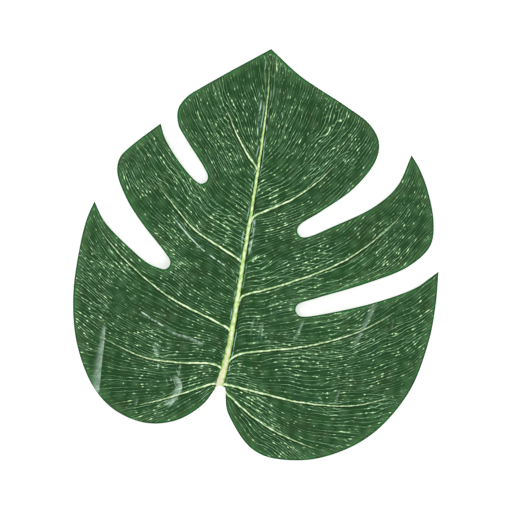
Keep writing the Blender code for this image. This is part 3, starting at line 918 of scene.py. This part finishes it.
def midrib_shadow(tree, place, read):
    """A fine painted shadow line along the midrib's right edge, broken in places."""
    up_leaf = read["midrib_place"]
    # Painted shadow beside the raised midrib
    beyond = add(tree, "Math", [read["beside_midrib"], read["midrib_half"]], operation="ADD")
    gap = gap_to(tree, beyond, 0.3)
    line = add(tree, "MapRange", [gap, 0.12, 0.5, 0.9, 0], **SMOOTH)
    breaks = add(tree, "TexNoise", {"Vector": place, "Scale": 1 / (7 * MM), "Detail": 1})
    broken = add(tree, "MapRange", [breaks, 0.4, 0.55, 0.3, 1], **SMOOTH)
    off_joint = add(tree, "MapRange", [up_leaf, 0.02, 0.06, 0, 1], **SMOOTH)
    to_tip = add(tree, "MapRange", [up_leaf, 0.74, 1.0, 1, 0], **SMOOTH)
    return [("#08180F", [line, broken, off_joint, to_tip])]


def midrib_print(tree, place, read):
    """The print of the midrib, as layers from the outside in."""
    up_leaf, beside = read["midrib_place"], read["beside_midrib"]
    across, beads = ragged_gap(tree, place, beside, read["midrib_half"], 0.84, 1.16)
    to_tip = add(tree, "MapRange", [up_leaf, 0.74, 1.0, 1, 0], **SMOOTH)
    body = add(tree, "MapRange", [across, 0.78, 1.1, 1, 0], **SMOOTH)
    middle = add(tree, "MapRange", [across, 0.25, 0.9, 1, 0], **SMOOTH)
    bright = add(tree, "MapRange", [beads, 0.38, 0.6, 0.3, 1], **SMOOTH)
    fleck_place = add(tree, "VectorMath", [place, (1, 0.35, 1)], operation="MULTIPLY")
    flecks = add(tree, "TexNoise", {"Vector": fleck_place, "Scale": 1 / (1.5 * MM), "Detail": 2})
    core = add(tree, "MapRange", [across, 0.12, 0.6, 0.9, 0], **SMOOTH)
    low = add(tree, "MapRange", [up_leaf, 0.08, 0.28, 1, 0], **SMOOTH)
    flecked = add(tree, "MapRange", [flecks, 0.36, 0.56, 0.35, 1], **SMOOTH)
    joint = add(tree, "MapRange", [up_leaf, 0.012, 0.05, 1, 0], **SMOOTH)
    knuckle = add(tree, "MapRange", [across, 0.7, 1.05, 1, 0], **SMOOTH)
    left = add(tree, "MapRange", [beside, -1.2, 0, 0, 1], **SMOOTH)
    return [
        ("#94BF58", [body, to_tip]),
        ("#E8F6C4", [middle, bright, to_tip]),
        ("#E4D8BC", [core, low, flecked]),
        ("#E3DAC0", [knuckle, joint, left]),
    ]


def painted_midrib_highlights(tree, place, read):
    """Painted highlights: broken pale lines close beside the midrib, along the pressed rib's edges.
    """
    wander = add(tree, "TexNoise", {"Vector": place, "Scale": 1 / (12 * MM), "Detail": 1})
    shift = add(tree, "MapRange", [wander, 0.3, 0.7, -0.4, 0.5])
    reach = add(tree, "Math", [read["midrib_half"], shift], operation="ADD")
    gap = add(tree, "Math", [read["beside_midrib"]], operation="ABSOLUTE")
    beyond = add(tree, "Math", [gap, reach], operation="SUBTRACT")
    line_gap = gap_to(tree, beyond, -0.8)
    # Painted highlight: a pale line where light would catch the edge of the pressed rib
    line = add(tree, "MapRange", [line_gap, 0.08, 0.38, 0.7, 0], **SMOOTH)
    breaks = add(tree, "TexNoise", {"Vector": place, "Scale": 1 / (5 * MM), "Detail": 2})
    dashed = add(tree, "MapRange", [breaks, 0.46, 0.6, 0, 1], **SMOOTH)
    to_tip = add(tree, "MapRange", [read["midrib_place"], 0.8, 0.95, 1, 0], **SMOOTH)
    return [("#9FC9B8", [line, dashed, to_tip])]


def painted_crease_sheen(tree, place, read):
    """Painted sheen on the creases: sharp on one side, and fading out on the other."""
    gap, soft = read["crease_gap"], read["crease_soft"]
    # Painted sheen: a pale tint where light would catch each fold
    sharp_side = add(tree, "MapRange", [gap, 0, 0.35, 1, 0], **SMOOTH)
    outward = add(tree, "Math", [gap, -1.0], operation="MULTIPLY")
    faded = add(tree, "Math", [outward, soft], operation="DIVIDE")
    soft_side = add(tree, "MapRange", [faded, 0.05, 1, 1, 0], **SMOOTH)
    # The painted sheen is broken up into patches by noise
    sheen_breakup = add(tree, "TexNoise", {"Vector": place, "Scale": 1 / (2.4 * MM), "Detail": 2})
    least = add(tree, "MapRange", [soft, 0.7, 3.0, 0.05, 0.6])
    broken_sheen = add(tree, "MapRange", [sheen_breakup, 0.42, 0.58, least, 1])
    return [("#CBE8D6", [sharp_side, soft_side, read["crease_sheen"], broken_sheen])]


def new_material(name):
    """A new material, with its node tree and its shader."""
    made = bpy.data.materials.new(name)
    made.use_nodes = True
    return made, made.node_tree, made.node_tree.nodes["Principled BSDF"]


def printed_polyester(name, fading):
    """Woven polyester, dye-printed and heat-pressed.

    It has a low satin shine, broken by the relief of its threads and its printed lines. The
    fading is 0 on the printed face and nearer 1 on the back, where the dye shows through.
    """
    made, tree, shader = new_material(name)
    place = add(tree, "TexCoord", out="Object")
    read = {
        value: add(tree, "Attribute", out="Fac", attribute_name=value)
        for value in PRINT_AND_PAINTED_LIGHT_VALUES
    }

    # The ground: two greens in 30 mm clouds, with olive and blue-green ones over them
    clouds = add(tree, "TexNoise", {"Vector": place, "Scale": 1 / (30 * MM), "Detail": 2})
    deep_or_light = {0: clouds, 6: colour("#133818"), 7: colour("#214D22")}
    printed = add(tree, "Mix", deep_or_light, out=2, data_type="RGBA")
    olive_clouds = add(tree, "TexNoise", {"Vector": place, "Scale": 1 / (11 * MM), "Detail": 3})
    olive = add(tree, "MapRange", [olive_clouds, 0.36, 0.46, 0.28, 0], **SMOOTH)
    blue = add(tree, "MapRange", [olive_clouds, 0.56, 0.68, 0, 0.35], **SMOOTH)

    # The cloth's weave, as soft squares about 17 times as far apart as its real threads
    pitch_scale = math.tau / (WAVE_RADIANS * WEAVE_PITCH * MM)
    weave = {"Vector": place, "Scale": pitch_scale, "Distortion": 0.6}
    warp = add(tree, "TexWave", weave, out="Fac", bands_direction="X")
    weft = add(tree, "TexWave", weave, out="Fac", bands_direction="Y")
    threads = add(tree, "Math", [warp, weft], operation="MULTIPLY")
    light_threads = add(tree, "Math", [threads, 0.24], operation="MULTIPLY")

    flanks, lines, dashes, specks = fine_veins(tree)

    # Along the margin: paler where the dye has run thin, a brighter rim in places, and a dark
    # line right at the edge
    in_from_margin = read["in_from_margin"]
    thin_dye = add(tree, "MapRange", [in_from_margin, 1.5, 5, 0.09, 0], **SMOOTH)
    rim = add(tree, "MapRange", [in_from_margin, 0.8, 1.9, 0.45, 0], **SMOOTH)
    outline = add(tree, "MapRange", [in_from_margin, 0.35, 0.95, 0.9, 0])
    rim_breaks = add(tree, "TexNoise", {"Vector": place, "Scale": 1 / (8 * MM), "Detail": 1})
    rim_shown = add(tree, "MapRange", [rim_breaks, 0.4, 0.58, 0, 1], **SMOOTH)

    # The print laid over the ground, with painted shadow lines, painted highlights and painted
    # sheen among its layers
    layers = [
        ("#2E3A18", [olive]),
        ("#1D4A32", [blue]),
        ("#5E8A5C", [light_threads]),
        ("#88B078", [thin_dye]),
        ("#061E08", [flanks, 0.9]),
        ("#8CC48A", [lines, 0.92]),
        ("#BEF4B8", [dashes, 0.95]),
        ("#DCFFBE", [specks]),
        ("#2E8042", [rim, rim_shown]),
        ("#004312", [outline]),
        # painted sheen on the creases
        *painted_crease_sheen(tree, place, read),
        # painted highlights beside the midrib
        *painted_midrib_highlights(tree, place, read),
        # painted shadow lines beside the midrib and the side veins
        *midrib_shadow(tree, place, read),
        *side_vein_print_and_shadow(tree, place, read),
        *midrib_print(tree, place, read),
    ]
    for code, (share, *others) in layers:
        for other in others:
            share = add(tree, "Math", [share, other], operation="MULTIPLY")
        laid = {0: share, 6: printed, 7: colour(code)}
        printed = add(tree, "Mix", laid, out=2, data_type="RGBA")
    if fading:
        faded = {0: fading, 6: printed, 7: colour("#8FA58A")}
        printed = add(tree, "Mix", faded, out=2, data_type="RGBA")
    tree.links.new(printed, shader.inputs["Base Color"])

    relief = add(tree, "Math", [threads, 0.6, lines], operation="MULTIPLY_ADD")
    bump = {"Strength": 0.5, "Distance": 0.12 * MM, "Height": relief}
    tree.links.new(add(tree, "Bump", bump), shader.inputs["Normal"])
    shader.inputs["Roughness"].default_value = 0.52
    shader.inputs["Specular IOR Level"].default_value = 0.12
    return made


def sealed_edge():
    """The heat-cut edge of the cloth: its threads melted into a dark bead, a little shinier."""
    made, tree, shader = new_material("heat_sealed_polyester_edge")
    place = add(tree, "TexCoord", out="Object")
    melted = add(tree, "TexNoise", {"Vector": place, "Scale": 1 / (1.2 * MM), "Detail": 2})
    greens = {0: melted, 6: colour("#0A3217"), 7: colour("#1B5A2A")}
    mixed = add(tree, "Mix", greens, out=2, data_type="RGBA")
    tree.links.new(mixed, shader.inputs["Base Color"])
    shader.inputs["Roughness"].default_value = 0.45
    return made


def leaf_blade():
    """The whole leaf as one closed sheet."""
    blade = new_object("leaf_blade", thick_sheet())
    shape_blade(blade)
    blade.data.materials.append(printed_polyester("dye_printed_polyester", 0))
    blade.data.materials.append(printed_polyester("dye_printed_polyester_back", SHOWN_THROUGH))
    blade.data.materials.append(sealed_edge())
    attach(blade, "root")
    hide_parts("monstera_leaf")
    x, y = margin_line().T
    return blade


def studio():
    """A softly glowing white floor, white surroundings, and a softbox at each corner."""
    scene = bpy.context.scene
    disc = bmesh.new()
    bmesh.ops.create_circle(disc, cap_ends=True, segments=96, radius=FLOOR_RADIUS)
    floor = new_object("floor", disc)

    # Matt white acrylic lit from below, so that the leaf's shadows on it stay faint
    white, _, shader = new_material("backlit_white_acrylic")
    shader.inputs["Base Color"].default_value = colour("#F6F6F5")
    shader.inputs["Roughness"].default_value = 0.9
    shader.inputs["Specular IOR Level"].default_value = 0.1
    shader.inputs["Emission Color"].default_value = colour("#FFFFFF")
    shader.inputs["Emission Strength"].default_value = BACKLIGHT
    floor.data.materials.append(white)

    scene.world = bpy.data.worlds.new("white_surroundings")
    scene.world.use_nodes = True
    background = scene.world.node_tree.nodes["Background"]
    background.inputs["Color"].default_value = colour("#FFFFFF")
    background.inputs["Strength"].default_value = SURROUNDINGS
    for name, place, power in SOFTBOXES:
        lamp = bpy.data.lights.new(name, "AREA")
        lamp.shape = "SQUARE"
        lamp.size = SOFTBOX_WIDTH
        lamp.energy = power
        box = bpy.data.objects.new(name, lamp)
        box.location = place
        box.rotation_mode = "QUATERNION"
        box.rotation_quaternion = (-Vector(place)).to_track_quat("-Z", "Y")
        scene.collection.objects.link(box)


def camera():
    """Looks straight down, turned so that the midrib leans a little to the right."""
    lens = bpy.data.cameras.new("camera")
    lens.lens = LENS
    lens.sensor_width = SENSOR
    eye = bpy.data.objects.new("camera", lens)
    distance = VIEW_WIDTH * LENS / SENSOR
    eye.location = (VIEW_CENTRE[0] * MM, VIEW_CENTRE[1] * MM, distance * MM)
    eye.rotation_euler = (0, 0, math.radians(LEAN))
    lens.clip_end = SIGHT * MM
    bpy.context.scene.collection.objects.link(eye)
    bpy.context.scene.camera = eye


leaf_blade()
studio()
camera()
bpy.context.scene.view_settings.view_transform = "Standard"
